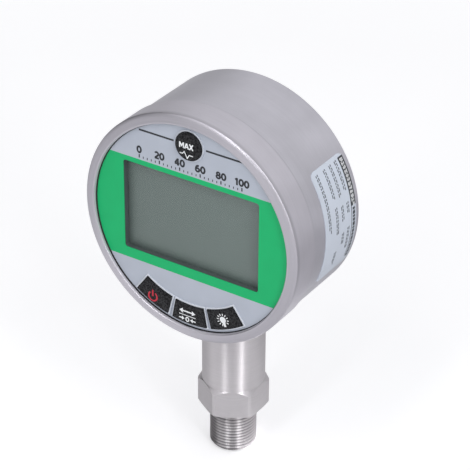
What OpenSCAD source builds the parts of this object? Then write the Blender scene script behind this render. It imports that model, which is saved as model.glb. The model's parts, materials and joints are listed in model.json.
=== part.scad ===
// Digital pressure gauge with a round steel case, a recessed display and a threaded bottom stem.
// Millimetres. The stem's tip is at the origin, +Z runs up the stem and -Y is the display side.

/* [Case] */
// Height of the case's axis above the stem's tip
case_centre_z = 121; // [112:0.5:150]
// Outside diameter of the drum
drum_od = 98.6; // [98:0.2:110]
// Sheet thickness of the drum
drum_wall = 1.2; // [0.8:0.1:1.4]
// Depth of the case behind the face panel's front
case_depth = 47.5; // [46.5:0.5:60]
// Radius of the drum's rear edge
drum_edge_r = 1.5; // [0.5:0.1:1.8]
// Distance between the stem's neck and the drum's rounded rear edge
neck_edge_gap = 0.6; // [0.2:0.1:3]

/* [Bezel] */
// Depth of the bezel's skirt over the drum
bezel_depth = 12.5; // [8:0.5:16]
// Thickness of the bezel's skirt
bezel_wall = 0.65; // [0.5:0.05:1.2]
// How far the bezel's lip reaches in from the drum's outside
lip_reach = 3.8; // [3:0.1:4.4]
// How far the lip's crest stands in front of the face panel
lip_rise = 1.9; // [1.6:0.1:3]
// How far the lip falls back from its crest to its outer edge
lip_fall = 1.2; // [0.6:0.1:1.4]
// Radius of the lip's inner edge
lip_round = 0.8; // [0.4:0.1:1]
// Thickness of the rubber ring between the lip and the face panel
gasket_t = 0.6; // [0.4:0.1:0.8]

/* [Face] */
// Thickness of the face panel
panel_t = 2.5; // [2:0.1:3]
// Distance from the face's visible edge to the sides of the display window
window_margin = 13.65; // [13:0.05:18]
// Corner radius of the window
window_corner_r = 1.2; // [0.5:0.1:3]
// Distance between the round key and the green surround
surround_top_gap = 7.4; // [6:0.1:9]
// Distance between the lower keys and the green surround, at the middle
surround_bottom_gap = 12.3; // [11:0.1:14]
// Width of the green border above the window
border_top_w = 2.25; // [2:0.05:4]
// Width of the green border below the window
border_bottom_w = 4.55; // [4:0.05:6]
// Thickness of the surround's film
surround_t = 0.3; // [0.1:0.05:0.5]

/* [Keys] */
// Diameter of the round peak key
peak_key_d = 12; // [8:0.1:13]
// Radial height of the three lower keys
key_h = 8.5; // [7:0.1:9]
// Angle that each lower key covers about the case's axis
key_span_angle = 21.6; // [14:0.1:21.8]
// Angle between neighbouring lower keys
key_pitch_angle = 25; // [25:0.1:28]
// Distance from the face's visible edge to the keys
key_margin = 2; // [1.8:0.1:2.6]
// How far a key stands in front of the face panel
key_rise = 1.3; // [0.9:0.1:2]
// How far a key can be pressed
key_travel = 0.6; // [0.3:0.05:0.65]
// Gap round a key in its hole
key_gap = 0.15; // [0.08:0.01:0.2]
// Height of the raised rim round each key hole
rim_h = 0.45; // [0.2:0.05:0.6]
// Width of the raised rim
rim_w = 0.6; // [0.3:0.05:0.7]

/* [Display] */
// Thickness of the clear window behind the face panel
lens_t = 1; // [0.8:0.1:1.5]
// How far the clear window reaches past the window opening
lens_overlap = 2; // [1.5:0.1:2.2]
// Thickness of the display glass
lcd_t = 2.2; // [1.8:0.1:2.8]
// Thickness of the backlight panel
backlight_t = 2.5; // [2:0.1:3]
// Thickness of the display frame's wall
frame_wall = 1.8; // [1.2:0.1:2]
// Width of the elastomer contact strips
strip_w = 2.2; // [1.6:0.1:2.4]

/* [Circuit board] */
// Thickness of the circuit board
board_t = 1.6; // [1:0.1:2]
// Width of a key switch
switch_w = 6; // [5.2:0.1:6.2]
// Height of a key switch's housing
switch_h = 4; // [3.8:0.05:4.1]
// Diameter of a switch button
switch_button_d = 3.5; // [2.5:0.1:4]
// Width of the main chip
chip_w = 12; // [8:0.5:14]

/* [Batteries] */
// Diameter of an AAA cell
cell_d = 10.5; // [10:0.1:10.6]
// Length of an AAA cell with its nub
cell_l = 44.5; // [43:0.1:45]
// Thickness of the battery holder's walls and floor
holder_wall = 1.5; // [1.2:0.1:1.8]
// Diameter of the standoffs between the board and the holder
standoff_d = 5; // [4:0.1:6]

/* [Rear cover] */
// Distance from the drum's outside to the rear cover's edge
cover_inset = 8.3; // [6:0.1:9]
// Thickness of the rear cover
cover_t = 1.2; // [0.8:0.1:2]
// Thickness of the cover's gasket
cover_gasket_t = 0.5; // [0.3:0.1:1]
// Distance from the cover's edge to the opening for the batteries
opening_inset = 7.5; // [7:0.1:8]
// Distance from the cover's edge to the circle of its screws
cover_screw_inset = 4; // [3.6:0.1:4.4]
// Number of cover screws
cover_screws = 4; // [3:1:8]
// Thread diameter of the cover's screws
cover_screw_d = 3; // [2.5:0.1:3.2]

/* [Stem] */
// Outside diameter of the thread
thread_d = 20; // [18:0.1:20.4]
// Pitch of the thread
thread_pitch = 1.5; // [1:0.25:2]
// Length of the threaded end, from the tip to the hexagon
thread_l = 20.5; // [16:0.5:26]
// Length of the plain groove behind the thread
relief_l = 2.5; // [1.5:0.1:4]
// Width of the hexagon across its flats
hex_af = 27; // [26.8:0.1:30]
// Height of the hexagon
hex_h = 13; // [10:0.5:18]
// Diameter to which the hexagon's corners are turned
hex_corner_d = 30.3; // [29.5:0.1:31]
// Height of the sloped ledges on the hexagon's top corners
hex_top_fall = 1.9; // [0.5:0.1:2.5]
// Diameter of the neck
neck_d = 26.8; // [26:0.1:27]
// How far the neck reaches into the drum
neck_inside = 6; // [5.5:0.5:8]
// Diameter of the pressure port
port_d = 6; // [4:0.1:8]
// Depth of the pressure port
port_l = 16; // [8:0.5:20]
// Diameter of the passage from the port to the sensor
passage_d = 2.5; // [1.5:0.1:3.5]

/* [Sensor] */
// Diameter of the sensor capsule
capsule_d = 19; // [17:0.1:19]
// Height of the sensor capsule
capsule_h = 14; // [12:0.5:16]
// Outside diameter of the ring that holds the capsule down
retainer_d = 21; // [20:0.1:22]
// Height of that ring
retainer_h = 4; // [3:0.1:6]
// Section diameter of the capsule's o-ring
o_ring_section = 1.75; // [1.2:0.05:2]
// Diameter of the sensor's cable
cable_d = 2.6; // [1.6:0.1:3]

/* [Label] */
// Height of the rating label, seen from the side
label_h = 48; // [20:0.5:60]
// Height of the label's centre above the case's axis
label_rise = 3.6; // [0:0.1:6]
// Distance from the face panel's front to the label
label_setback = 21.2; // [18:0.1:30]
// Distance from the label to the drum's rear
label_rear_gap = 3.3; // [2:0.1:12]

/* [Hidden] */
$fn = 96;
// Named overrun that takes a cut clear of the face it starts from
overrun = 1;
// Clearances
bezel_fit = 0.05;
panel_fit = 0.2;
seat_gap = 0.05;
button_fit = 0.05;
frame_fit = 0.1;
capsule_fit = 0.05;
front_gap = 0.1;
hole_fit = 0.15;
cell_fit = 0.35;

// Distance from the face panel's front to the stem's axis
stem_setback = case_depth - drum_edge_r - neck_edge_gap - neck_d / 2;

// Radii about the case's axis
drum_r = drum_od / 2;
drum_ri = drum_r - drum_wall;
skirt_ri = drum_r + bezel_fit;
bezel_r = skirt_ri + bezel_wall;
face_r = drum_r - lip_reach;
panel_r = drum_ri - panel_fit;
ledge_w = 1.7;
ledge_t = 1.5;
ledge_ri = drum_ri - ledge_w;
board_edge_gap = 0.9;
board_r = ledge_ri - board_edge_gap;

// Bezel and drum edges
bezel_edge_r = 0.5;
crest_angle = 270;
bezel_edge_turn = 20;
drum_front = 0.3;
gasket_setback = 0.25;

// Depths behind the face panel's front
backlight_gap = 0.8;
lens_back = panel_t + lens_t;
lcd_back = lens_back + lcd_t;
backlight_back = lcd_back + backlight_t;
board_front = backlight_back + backlight_gap;
board_back = board_front + board_t;
flange_front = panel_t + seat_gap;
cover_front = case_depth + cover_gasket_t;
cover_back = cover_front + cover_t;

// Keys and switches
flange_w = 0.8;
flange_t = 0.8;
boss_d = 4.5;
switch_button_out = 0.8;
switch_button_l = 3;
switch_spare = 0.2;
switch_front = board_front - switch_h;
button_front = switch_front - switch_button_out;
switch_bore_l = switch_button_l - switch_button_out + key_travel + switch_spare;
key_ro = face_r - key_margin;
key_ri = key_ro - key_h;
key_mid_r = (key_ro + key_ri) / 2;
peak_rise = face_r - key_margin - peak_key_d / 2;
power_angle = -90 - key_pitch_angle;
unit_angle = -90;
light_angle = -90 + key_pitch_angle;
SWITCH_PLACES = [
    [0, peak_rise, 0],
    [key_mid_r * cos(power_angle), key_mid_r * sin(power_angle), power_angle],
    [key_mid_r * cos(unit_angle), key_mid_r * sin(unit_angle), unit_angle],
    [key_mid_r * cos(light_angle), key_mid_r * sin(light_angle), light_angle]
];

// Surround, window, lens and frame
surround_top = peak_rise - peak_key_d / 2 - surround_top_gap;
surround_bottom = surround_bottom_gap - key_ri;
surround_h = surround_top - surround_bottom;
surround_rise = (surround_top + surround_bottom) / 2;
window_top = surround_top - border_top_w;
window_bottom = surround_bottom + border_bottom_w;
window_w = 2 * (face_r - window_margin);
window_h = window_top - window_bottom;
window_rise = (window_top + window_bottom) / 2;
lens_w = window_w + 2 * lens_overlap;
lens_h = window_h + 2 * lens_overlap;
lens_corner_r = 1.5;
frame_inner_w = lens_w + 2 * frame_fit;
frame_inner_h = lens_h + 2 * frame_fit;
frame_w = frame_inner_w + 2 * frame_wall;
frame_h = frame_inner_h + 2 * frame_wall;
strip_inset = 0.3;
strip_gap = 0.4;
backlight_h = lens_h - 2 * (strip_inset + strip_w + strip_gap);
backlight_inset = 1;
surround_inset = 0.4;

// Posts and screws that carry the board on the face panel
POST_ANGLES = [-140, -40, 55, 125];
post_d = 5;
post_edge_gap = 0.5;
post_circle_r = board_r - post_d / 2 - post_edge_gap;
board_screw_d = 2.5;
board_screw_l = 5;
board_head_d = 4.6;
board_head_h = 1.6;
screw_end_gap = 0.5;

// Battery holder, seen from behind the case
cell_count = 3;
cell_r = cell_d / 2;
cell_pitch = cell_d + 2 * cell_fit;
nub_l = 1;
nub_d = 3.8;
contact_t = 0.4;
contact_w = 8;
spring_l = 1.5;
spring_d = 5;
bay_l = cell_l + spring_l + 2 * contact_t;
bay_h = cell_count * cell_pitch;
holder_w = bay_l + 2 * holder_wall;
holder_h = bay_h + 2 * holder_wall;
holder_back_gap = 1.3;
holder_back = case_depth - drum_wall - holder_back_gap;
cell_axis = holder_back - cell_r - cell_fit;
bay_floor = cell_axis - cell_r;
holder_front = bay_floor - holder_wall;
foot_w = 8;
foot_h = 7;
foot_x = holder_w / 2 - foot_w;
foot_z = holder_h / 2 + foot_h / 2;
holder_screw_d = 2.5;
holder_screw_l = 6;
standoff_stud_d = 2.5;
lead_d = 1.3;
lead_x = 8;
lead_gap = 3.9;
lead_z = -holder_h / 2 - lead_gap;

// Rear cover
cover_r = drum_r - cover_inset;
opening_r = cover_r - opening_inset;
screw_circle_r = cover_r - cover_screw_inset;
cover_edge_r = 0.5;
cover_gasket_inset = 0.5;
cover_screw_l = 5.2;
cover_head_d = 5.6;
cover_head_h = 1.8;
cover_nut_d = 6;
cover_nut_h = 2.6;
slot_w = 0.9;
slot_l = 3.2;
slot_depth = 0.8;

// Stem
thread_height_share = 0.6134;
crest_share = 1 / 8;
thread_depth = thread_height_share * thread_pitch;
thread_r = thread_d / 2;
root_r = thread_r - thread_depth;
crest_w = crest_share * thread_pitch;
flank_w = thread_depth * tan(30);
tip_l = 1;
tip_chamfer = 0.5;
thread_turns = floor((thread_l - relief_l - tip_l) / thread_pitch);
relief_r = root_r - tip_chamfer / 2;
hex_top = thread_l + hex_h;
hex_corner_r = hex_corner_d / 2;
hex_bottom_chamfer = 0.5;
hex_bottom_inset = 1.2;
neck_r = neck_d / 2;
neck_top = case_centre_z - drum_ri + neck_inside;

// Sensor, in the neck's upper end
capsule_r = capsule_d / 2;
chamber_r = capsule_r + capsule_fit;
sensor_board_t = 1.2;
sensor_board_d = 17;
chamber_recess = 0.7;
chamber_floor = neck_top - capsule_h - retainer_h - sensor_board_t - chamber_recess;
diaphragm_gap = 0.5;
diaphragm_d = 15;
o_ring_gap = 0.02;
groove_h = 2.4;
groove_rise = 3.5;
groove_z = chamber_floor + groove_rise;
groove_r = chamber_r - o_ring_section - o_ring_gap;
retainer_hole_d = 12;
retainer_slot_w = 2;
retainer_slot_depth = 1.5;
pin_d = 0.6;
pin_circle_r = 4;
pin_count = 5;
pin_root = 2;
cable_rise = 10;
cable_z = neck_top + cable_rise;
socket_w = 9;
socket_h = 7;
socket_t = 6;
chip_t = 1.4;
chip_shift = 12;
chip_rise = 6;

// Label
label_t = 0.15;
label_w = case_depth - label_setback - label_rear_gap;
label_corner_r = 2.5;

// Colours
steel = [0.69, 0.68, 0.69];
bright_steel = [0.76, 0.75, 0.75];
panel_grey = [0.72, 0.75, 0.79];
green = [0.14, 0.71, 0.45];
key_black = [0.13, 0.13, 0.15];
rubber_black = [0.08, 0.08, 0.09];
display_grey = [0.43, 0.48, 0.46];
clear = [0.80, 0.88, 0.90, 0.35];
milky = [0.90, 0.92, 0.93];
board_green = [0.05, 0.36, 0.20];
plastic_black = [0.11, 0.11, 0.12];
brass = [0.80, 0.66, 0.36];
white = [0.90, 0.90, 0.88];
cell_wrap = [0.16, 0.34, 0.62];
red = [0.74, 0.10, 0.12];
grey_cable = [0.42, 0.43, 0.45];
label_silver = [0.80, 0.82, 0.85];

// Frames and sweeps

// Puts a piece at the centre of the face panel's front
module at_face() translate([0, -stem_setback, case_centre_z]) children();

// Extrudes an outline seen from the front between two depths
module slab(from, to) translate([0, to, 0]) rotate([90, 0, 0]) linear_extrude(to - from) children();

// Turns a [radius, depth] profile about the case's axis
module turned() rotate([-90, 0, 0]) rotate_extrude() children();

function arc(centre, r, a0, a1, steps = 8) =
    [for (i = [0:steps]) centre + r * [cos(a0 + (a1 - a0) * i / steps), sin(a0 + (a1 - a0) * i / steps)]];

module bar(w, h, rise = 0) translate([-w / 2, rise - h / 2]) square([w, h]);

module rounded_bar(w, h, r, rise = 0) {
    bar(w - 2 * r, h, rise);
    bar(w, h - 2 * r, rise);
    for (x = [-1, 1], z = [-1, 1])
        translate([x * (w / 2 - r), rise + z * (h / 2 - r)]) circle(r);
}

// A screw with its head at the back; head_front is the depth of the head's underside
module rear_screw(d, l, head_d, head_h, head_front) {
    difference() {
        slab(head_front, head_front + head_h) circle(d = head_d);
        slab(head_front + head_h - slot_depth, head_front + head_h + overrun) {
            bar(slot_l, slot_w);
            bar(slot_w, slot_l);
        }
    }
    slab(head_front - l, head_front) circle(d = d);
}

// Places repeated children

module at_posts() for (a = POST_ANGLES)
    translate([post_circle_r * cos(a), 0, post_circle_r * sin(a)]) children();

module at_feet() for (x = [-1, 1], z = [-1, 1]) translate([x * foot_x, 0, z * foot_z]) children();

module at_cover_screws() for (i = [0:cover_screws - 1])
    rotate([0, i * 360 / cover_screws, 0]) translate([screw_circle_r, 0, 0]) children();

// Outlines of the keys

// One lower key's outline, grown by the same amount on every side
module key_outline(angle, grow = 0) {
    half = key_span_angle / 2;
    apex = [-grow / sin(half), 0];
    rotate(angle) intersection() {
        difference() {
            circle(key_ro + grow);
            circle(key_ri - grow);
        }
        polygon([apex, apex + drum_od * [cos(half), -sin(half)], apex + drum_od * [cos(half), sin(half)]]);
    }
}

module peak_outline(grow = 0) translate([0, peak_rise]) circle(peak_key_d / 2 + grow);

module lower_outlines(grow = 0) for (a = [power_angle, unit_angle, light_angle]) key_outline(a, grow);

module window_outline() rounded_bar(window_w, window_h, window_corner_r, window_rise);

module surround_outline() difference() {
    intersection() {
        circle(face_r + gasket_setback + surround_inset);
        bar(drum_od, surround_h, surround_rise);
    }
    window_outline();
}

// Case

module case_drum() color(steel) difference() {
    at_face() turned() polygon(concat(
        [[drum_r, drum_front]],
        arc([drum_r - drum_edge_r, case_depth - drum_edge_r], drum_edge_r, 0, 90),
        [
            [opening_r, case_depth],
            [opening_r, case_depth - drum_wall],
            [drum_ri, case_depth - drum_wall],
            [drum_ri, panel_t + ledge_t],
            [ledge_ri, panel_t + ledge_t],
            [ledge_ri, panel_t],
            [drum_ri, panel_t],
            [drum_ri, drum_front]
        ]));
    translate([0, 0, case_centre_z - drum_od]) cylinder(r = neck_r, h = drum_od);
    at_face() at_cover_screws() slab(case_depth - drum_wall - overrun, case_depth + overrun)
        circle(d = cover_screw_d);
}

module front_bezel() color(bright_steel) at_face() turned() polygon(concat(
    [[face_r, -gasket_t]],
    arc([face_r + lip_round, lip_round - lip_rise], lip_round, 180, crest_angle),
    arc([bezel_r - bezel_edge_r, bezel_edge_r + lip_fall - lip_rise], bezel_edge_r,
        crest_angle + bezel_edge_turn, 360),
    arc([bezel_r - bezel_edge_r, bezel_depth - bezel_edge_r], bezel_edge_r, 0, 90),
    [
        [skirt_ri, bezel_depth],
        [skirt_ri, drum_front - front_gap],
        [panel_r + front_gap, drum_front - front_gap],
        [panel_r + front_gap, -gasket_t]
    ]));

module bezel_gasket() color(rubber_black) at_face() slab(-gasket_t, 0) difference() {
    circle(panel_r);
    circle(face_r + gasket_setback);
}

// Face

module front_panel() color(panel_grey) at_face() difference() {
    union() {
        slab(0, panel_t) circle(panel_r);
        slab(-rim_h, panel_t) {
            lower_outlines(key_gap + rim_w);
            peak_outline(key_gap + rim_w);
        }
        at_posts() slab(0, board_front) circle(d = post_d);
    }
    slab(-overrun, surround_t) surround_outline();
    slab(-overrun, panel_t + overrun) {
        window_outline();
        lower_outlines(key_gap);
        peak_outline(key_gap);
    }
    at_posts() slab(board_front - board_screw_l - screw_end_gap + board_t, board_front + overrun)
        circle(d = board_screw_d);
}

module display_surround() color(green) at_face() slab(0, surround_t) surround_outline();

module display_window() color(clear) at_face()
    slab(panel_t, lens_back) rounded_bar(lens_w, lens_h, lens_corner_r, window_rise);

// Display behind the face

module lcd_frame() color(plastic_black) at_face() slab(panel_t, board_front) difference() {
    rounded_bar(frame_w, frame_h, lens_corner_r + frame_wall, window_rise);
    rounded_bar(frame_inner_w, frame_inner_h, lens_corner_r, window_rise);
}

module lcd_glass() color(display_grey) at_face()
    slab(lens_back, lcd_back) rounded_bar(lens_w, lens_h, lens_corner_r, window_rise);

module backlight_panel() color(milky) at_face()
    slab(lcd_back, backlight_back) bar(lens_w - 2 * backlight_inset, backlight_h, window_rise);

module contact_strips() color(rubber_black) at_face() for (z = [-1, 1])
    slab(lcd_back, board_front)
        bar(window_w, strip_w, window_rise + z * (lens_h / 2 - strip_inset - strip_w / 2));

// Keys and their switch buttons

// A key's cap, its flange behind the panel and the boss that meets the switch button
module lower_key(angle) at_face() {
    slab(-key_rise, flange_front) key_outline(angle);
    slab(flange_front, flange_front + flange_t) key_outline(angle, flange_w);
    slab(flange_front, button_front)
        translate([key_mid_r * cos(angle), key_mid_r * sin(angle)]) circle(d = boss_d);
}

module switch_button(i) at_face() slab(button_front, button_front + switch_button_l)
    translate([SWITCH_PLACES[i][0], SWITCH_PLACES[i][1]]) circle(d = switch_button_d);

module peak_key() color(key_black) at_face() {
    slab(-key_rise, flange_front) peak_outline();
    slab(flange_front, flange_front + flange_t) peak_outline(flange_w);
    slab(flange_front, button_front) translate([0, peak_rise]) circle(d = boss_d);
}

module power_key() color(key_black) lower_key(power_angle);

module unit_zero_key() color(key_black) lower_key(unit_angle);

module light_key() color(key_black) lower_key(light_angle);

module peak_switch_button() color(plastic_black) switch_button(0);

module power_switch_button() color(plastic_black) switch_button(1);

module unit_zero_switch_button() color(plastic_black) switch_button(2);

module light_switch_button() color(plastic_black) switch_button(3);

// Circuit board

module key_switches() color(plastic_black) at_face() for (p = SWITCH_PLACES) difference() {
    slab(switch_front, board_front) translate([p[0], p[1]]) rotate(p[2]) bar(switch_w, switch_w);
    slab(switch_front - overrun, switch_front + switch_bore_l)
        translate([p[0], p[1]]) circle(switch_button_d / 2 + button_fit);
}

module main_board() color(board_green) at_face() difference() {
    slab(board_front, board_back) circle(board_r);
    at_posts() slab(board_front - overrun, board_back + overrun) circle(board_screw_d / 2 + hole_fit);
    at_feet() slab(board_front - overrun, board_back + overrun) circle(d = standoff_stud_d);
}

module main_chip() color(plastic_black) at_face()
    slab(board_back, board_back + chip_t) translate([-chip_shift, 0]) bar(chip_w, chip_w, chip_rise);

module sensor_socket() color(white) at_face()
    slab(board_back, board_back + socket_t) bar(socket_w, socket_h, cable_z - case_centre_z);

module board_screws() color(brass) at_face() at_posts()
    rear_screw(board_screw_d, board_screw_l, board_head_d, board_head_h, board_back);

module board_standoffs() color(brass) at_face() at_feet() difference() {
    union() {
        slab(board_back, holder_front) circle(d = standoff_d);
        slab(board_front, holder_front) circle(d = standoff_stud_d);
    }
    slab(holder_front - holder_screw_l, holder_front + overrun) circle(d = holder_screw_d);
}

// Batteries

module battery_holder() color(plastic_black) at_face() difference() {
    union() {
        slab(holder_front, holder_back) bar(holder_w, holder_h);
        at_feet() slab(holder_front, holder_front + holder_wall) bar(foot_w, foot_h);
    }
    slab(bay_floor, holder_back + overrun) bar(bay_l, bay_h);
    at_feet() slab(holder_front - overrun, holder_back)
        circle(holder_screw_d / 2 + hole_fit);
}

// Cell number i, from the bottom; neighbours point opposite ways
module cell_place(i) translate([0, cell_axis, (i - (cell_count - 1) / 2) * cell_pitch])
    mirror([i % 2, 0, 0]) translate([-bay_l / 2 + contact_t + spring_l, 0, 0])
        rotate([0, 90, 0]) children();

module battery(i) at_face() cell_place(i) {
    cylinder(r = cell_r, h = cell_l - nub_l);
    cylinder(d = nub_d, h = cell_l);
}

module battery_1() color(cell_wrap) battery(0);

module battery_2() color(cell_wrap) battery(1);

module battery_3() color(cell_wrap) battery(2);

// A sprung plate at each cell's flat end and a plain plate at its nub
module battery_contacts() color(bright_steel) at_face() for (i = [0:cell_count - 1]) cell_place(i) {
    translate([0, 0, -spring_l]) cylinder(d = spring_d, h = spring_l);
    for (z = [-spring_l - contact_t, cell_l]) translate([-contact_w / 2, -contact_w / 2, z])
        cube([contact_w, contact_w, contact_t]);
}

module battery_lead(x) at_face() slab(board_back, holder_front) translate([x, lead_z]) circle(d = lead_d);

module battery_lead_red() color(red) battery_lead(lead_x);

module battery_lead_black() color(rubber_black) battery_lead(-lead_x);

module holder_screws() color(bright_steel) at_face() at_feet()
    rear_screw(holder_screw_d, holder_screw_l, board_head_d, board_head_h, holder_front + holder_wall);

// Rear cover

module rear_gasket() color(rubber_black) at_face() difference() {
    slab(case_depth, cover_front) difference() {
        circle(cover_r - cover_gasket_inset);
        circle(opening_r + cover_gasket_inset);
    }
    at_cover_screws() slab(case_depth - overrun, cover_front + overrun)
        circle(cover_screw_d / 2 + hole_fit);
}

module rear_cover() color(bright_steel) at_face() difference() {
    turned() polygon(concat(
        [[0, cover_front], [cover_r, cover_front]],
        arc([cover_r - cover_edge_r, cover_back - cover_edge_r], cover_edge_r, 0, 90),
        [[0, cover_back]]));
    at_cover_screws() slab(cover_front - overrun, cover_back + overrun)
        circle(cover_screw_d / 2 + hole_fit);
}

module rear_cover_screws() color(bright_steel) at_face() at_cover_screws()
    rear_screw(cover_screw_d, cover_screw_l, cover_head_d, cover_head_h, cover_back);

module rear_cover_nuts() color(brass) at_face() at_cover_screws()
    slab(case_depth - drum_wall - cover_nut_h, case_depth - drum_wall) difference() {
        circle(d = cover_nut_d);
        circle(d = cover_screw_d);
    }

// Stem

// Thread profile as rings of crests; every crest is a true cylinder of the thread's diameter
function thread_profile() = concat(
    [[0, 0], [root_r - tip_chamfer, 0], [root_r, tip_chamfer]],
    [for (i = [0:thread_turns - 1], p = [
        [root_r, 0], [thread_r, flank_w], [thread_r, flank_w + crest_w], [root_r, 2 * flank_w + crest_w]])
        [p[0], tip_l + i * thread_pitch + p[1]]],
    [
        [root_r, tip_l + thread_turns * thread_pitch],
        [relief_r, tip_l + thread_turns * thread_pitch + tip_chamfer],
        [relief_r, thread_l],
        [0, thread_l]
    ]);

module stem_hexagon() intersection() {
    translate([0, 0, thread_l]) rotate(30) cylinder(r = hex_af / 2 / cos(30), h = hex_h, $fn = 6);
    rotate_extrude() polygon([
        [0, thread_l],
        [hex_corner_r - hex_bottom_inset, thread_l],
        [hex_corner_r, thread_l + hex_bottom_chamfer],
        [hex_corner_r, hex_top - hex_top_fall],
        [neck_r, hex_top],
        [0, hex_top]
    ]);
}

module pressure_stem() color(bright_steel) difference() {
    union() {
        rotate_extrude() polygon(thread_profile());
        stem_hexagon();
        translate([0, 0, thread_l]) cylinder(r = neck_r, h = neck_top - thread_l);
    }
    translate([0, 0, -overrun]) cylinder(d = port_d, h = port_l + overrun);
    cylinder(d = passage_d, h = neck_top);
    translate([0, 0, chamber_floor]) cylinder(r = chamber_r, h = neck_top);
    translate([0, 0, chamber_floor + capsule_h]) cylinder(d = retainer_d, h = neck_top);
}

// Sensor

module sensor_capsule() color(bright_steel) {
    difference() {
        translate([0, 0, chamber_floor]) cylinder(r = capsule_r, h = capsule_h);
        translate([0, 0, chamber_floor - overrun]) cylinder(d = diaphragm_d, h = diaphragm_gap + overrun);
        translate([0, 0, groove_z]) difference() {
            cylinder(d = capsule_d + overrun, h = groove_h);
            translate([0, 0, -overrun]) cylinder(r = groove_r, h = groove_h + 2 * overrun);
        }
    }
    for (i = [0:pin_count - 1]) rotate(i * 360 / pin_count)
        translate([pin_circle_r, 0, chamber_floor + capsule_h - pin_root])
            cylinder(d = pin_d, h = pin_root + retainer_h);
}

module sensor_o_ring() color(rubber_black) translate([0, 0, groove_z + groove_h / 2])
    rotate_extrude() translate([chamber_r - o_ring_section / 2 - o_ring_gap / 2, 0])
        circle(d = o_ring_section);

module sensor_retainer() color(brass) translate([0, 0, chamber_floor + capsule_h]) difference() {
    cylinder(d = retainer_d, h = retainer_h);
    translate([0, 0, -overrun]) cylinder(d = retainer_hole_d, h = retainer_h + 2 * overrun);
    translate([-retainer_d / 2 - overrun, -retainer_slot_w / 2, retainer_h - retainer_slot_depth])
        cube([retainer_d + 2 * overrun, retainer_slot_w, retainer_slot_depth + overrun]);
}

module sensor_board() color(board_green) translate([0, 0, chamber_floor + capsule_h + retainer_h])
    cylinder(d = sensor_board_d, h = sensor_board_t);

// The cable leaves the sensor board upwards, turns forward and ends in the board's socket
module sensor_cable() color(grey_cable) {
    start = chamber_floor + capsule_h + retainer_h + sensor_board_t;
    socket_y = board_back + socket_t - stem_setback;
    translate([0, 0, start]) cylinder(d = cable_d, h = cable_z - start);
    translate([0, 0, cable_z]) sphere(d = cable_d);
    translate([0, 0, cable_z]) rotate([90, 0, 0]) cylinder(d = cable_d, h = -socket_y);
}

// Label on the drum's right side

module rating_label() color(label_silver) at_face() intersection() {
    turned() translate([drum_r, label_setback]) square([label_t, label_w]);
    translate([0, label_setback + label_w / 2, label_rise]) rotate([90, 0, 90])
        linear_extrude(drum_od) rounded_bar(label_w, label_h, label_corner_r);
}

case_drum();
front_bezel();
bezel_gasket();
front_panel();
display_surround();
display_window();
lcd_frame();
lcd_glass();
backlight_panel();
contact_strips();
peak_key();
power_key();
unit_zero_key();
light_key();
peak_switch_button();
power_switch_button();
unit_zero_switch_button();
light_switch_button();
key_switches();
main_board();
main_chip();
sensor_socket();
board_screws();
board_standoffs();
battery_holder();
battery_1();
battery_2();
battery_3();
battery_contacts();
battery_lead_red();
battery_lead_black();
holder_screws();
rear_gasket();
rear_cover();
rear_cover_screws();
rear_cover_nuts();
pressure_stem();
sensor_capsule();
sensor_o_ring();
sensor_retainer();
sensor_board();
sensor_cable();
rating_label();
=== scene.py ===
"""Looks of the digital pressure gauge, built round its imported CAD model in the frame's own metres.

Sizes are kept in millimetres, as in the CAD source, and read from the frame where it gives them. A
depth runs back from the face panel's front, and a place on the face is (across, up) from the
case's axis."""
import itertools
import json
import math

import bmesh
import bpy
from mathutils import Matrix, Vector


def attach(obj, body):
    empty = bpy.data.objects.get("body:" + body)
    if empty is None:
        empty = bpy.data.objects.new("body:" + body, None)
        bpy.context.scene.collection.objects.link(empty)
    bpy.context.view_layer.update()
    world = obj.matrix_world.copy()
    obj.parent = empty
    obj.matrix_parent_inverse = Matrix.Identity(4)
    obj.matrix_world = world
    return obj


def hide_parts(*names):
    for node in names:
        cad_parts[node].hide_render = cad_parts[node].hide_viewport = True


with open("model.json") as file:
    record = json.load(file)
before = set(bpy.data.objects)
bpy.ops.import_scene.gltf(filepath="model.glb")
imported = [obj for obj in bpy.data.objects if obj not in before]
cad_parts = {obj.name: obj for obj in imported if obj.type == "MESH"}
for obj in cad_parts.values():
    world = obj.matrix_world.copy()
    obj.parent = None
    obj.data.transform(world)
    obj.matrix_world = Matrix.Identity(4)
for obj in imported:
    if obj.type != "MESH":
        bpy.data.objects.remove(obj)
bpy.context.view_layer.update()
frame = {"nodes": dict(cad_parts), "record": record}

NODES = frame["nodes"]
MOUNTS = {mount["name"]: mount["dims"] for mount in frame["record"]["mounts"]}
MM = 0.001


def extent(name, axis):
    """Least and greatest place of a CAD piece along an axis, in millimetres."""
    places = [v.co["XYZ".index(axis)] / MM for v in NODES[name].data.vertices]
    return round(min(places), 3), round(max(places), 3)


# Case: its axis, the face panel's front and visible edge, the drum and the label
BEZEL_FRONT_Y, BEZEL_BACK_Y = extent("front_bezel", "Y")
GASKET_Y, FACE_Y = extent("bezel_gasket", "Y")
CASE_Z = sum(extent("front_bezel", "Z")) / 2
FACE_R = 45.5
DRUM_R = extent("case_drum", "X")[1]
LABEL_T = 0.15
# Angle above level from which places along the label are counted
LABEL_START_ANGLE = 33.0

# Bezel: its outside, its inside, its lip and the roll from the lip to the skirt
BEZEL_R = extent("front_bezel", "X")[1]
BEZEL_DEPTH = BEZEL_BACK_Y - FACE_Y
SKIRT_T = 0.65
STEP_R = 48.0
STEP_DEPTH = 0.2
GASKET_T = FACE_Y - GASKET_Y
REAR_ROUND = 0.5
LIP_ROUND = 0.8
LIP_RISE = FACE_Y - BEZEL_FRONT_Y
LIP_SLOPE = 12.0
ROLL_R = 48.4
ROLL_SPAN = 1.35
ROLL_SLOPE = 36.0
# Narrow strips beside the bends, which keep the shading of the straight stretches even
SLOPE_STRIP = 0.08
SKIRT_STRIP = 0.1

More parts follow.
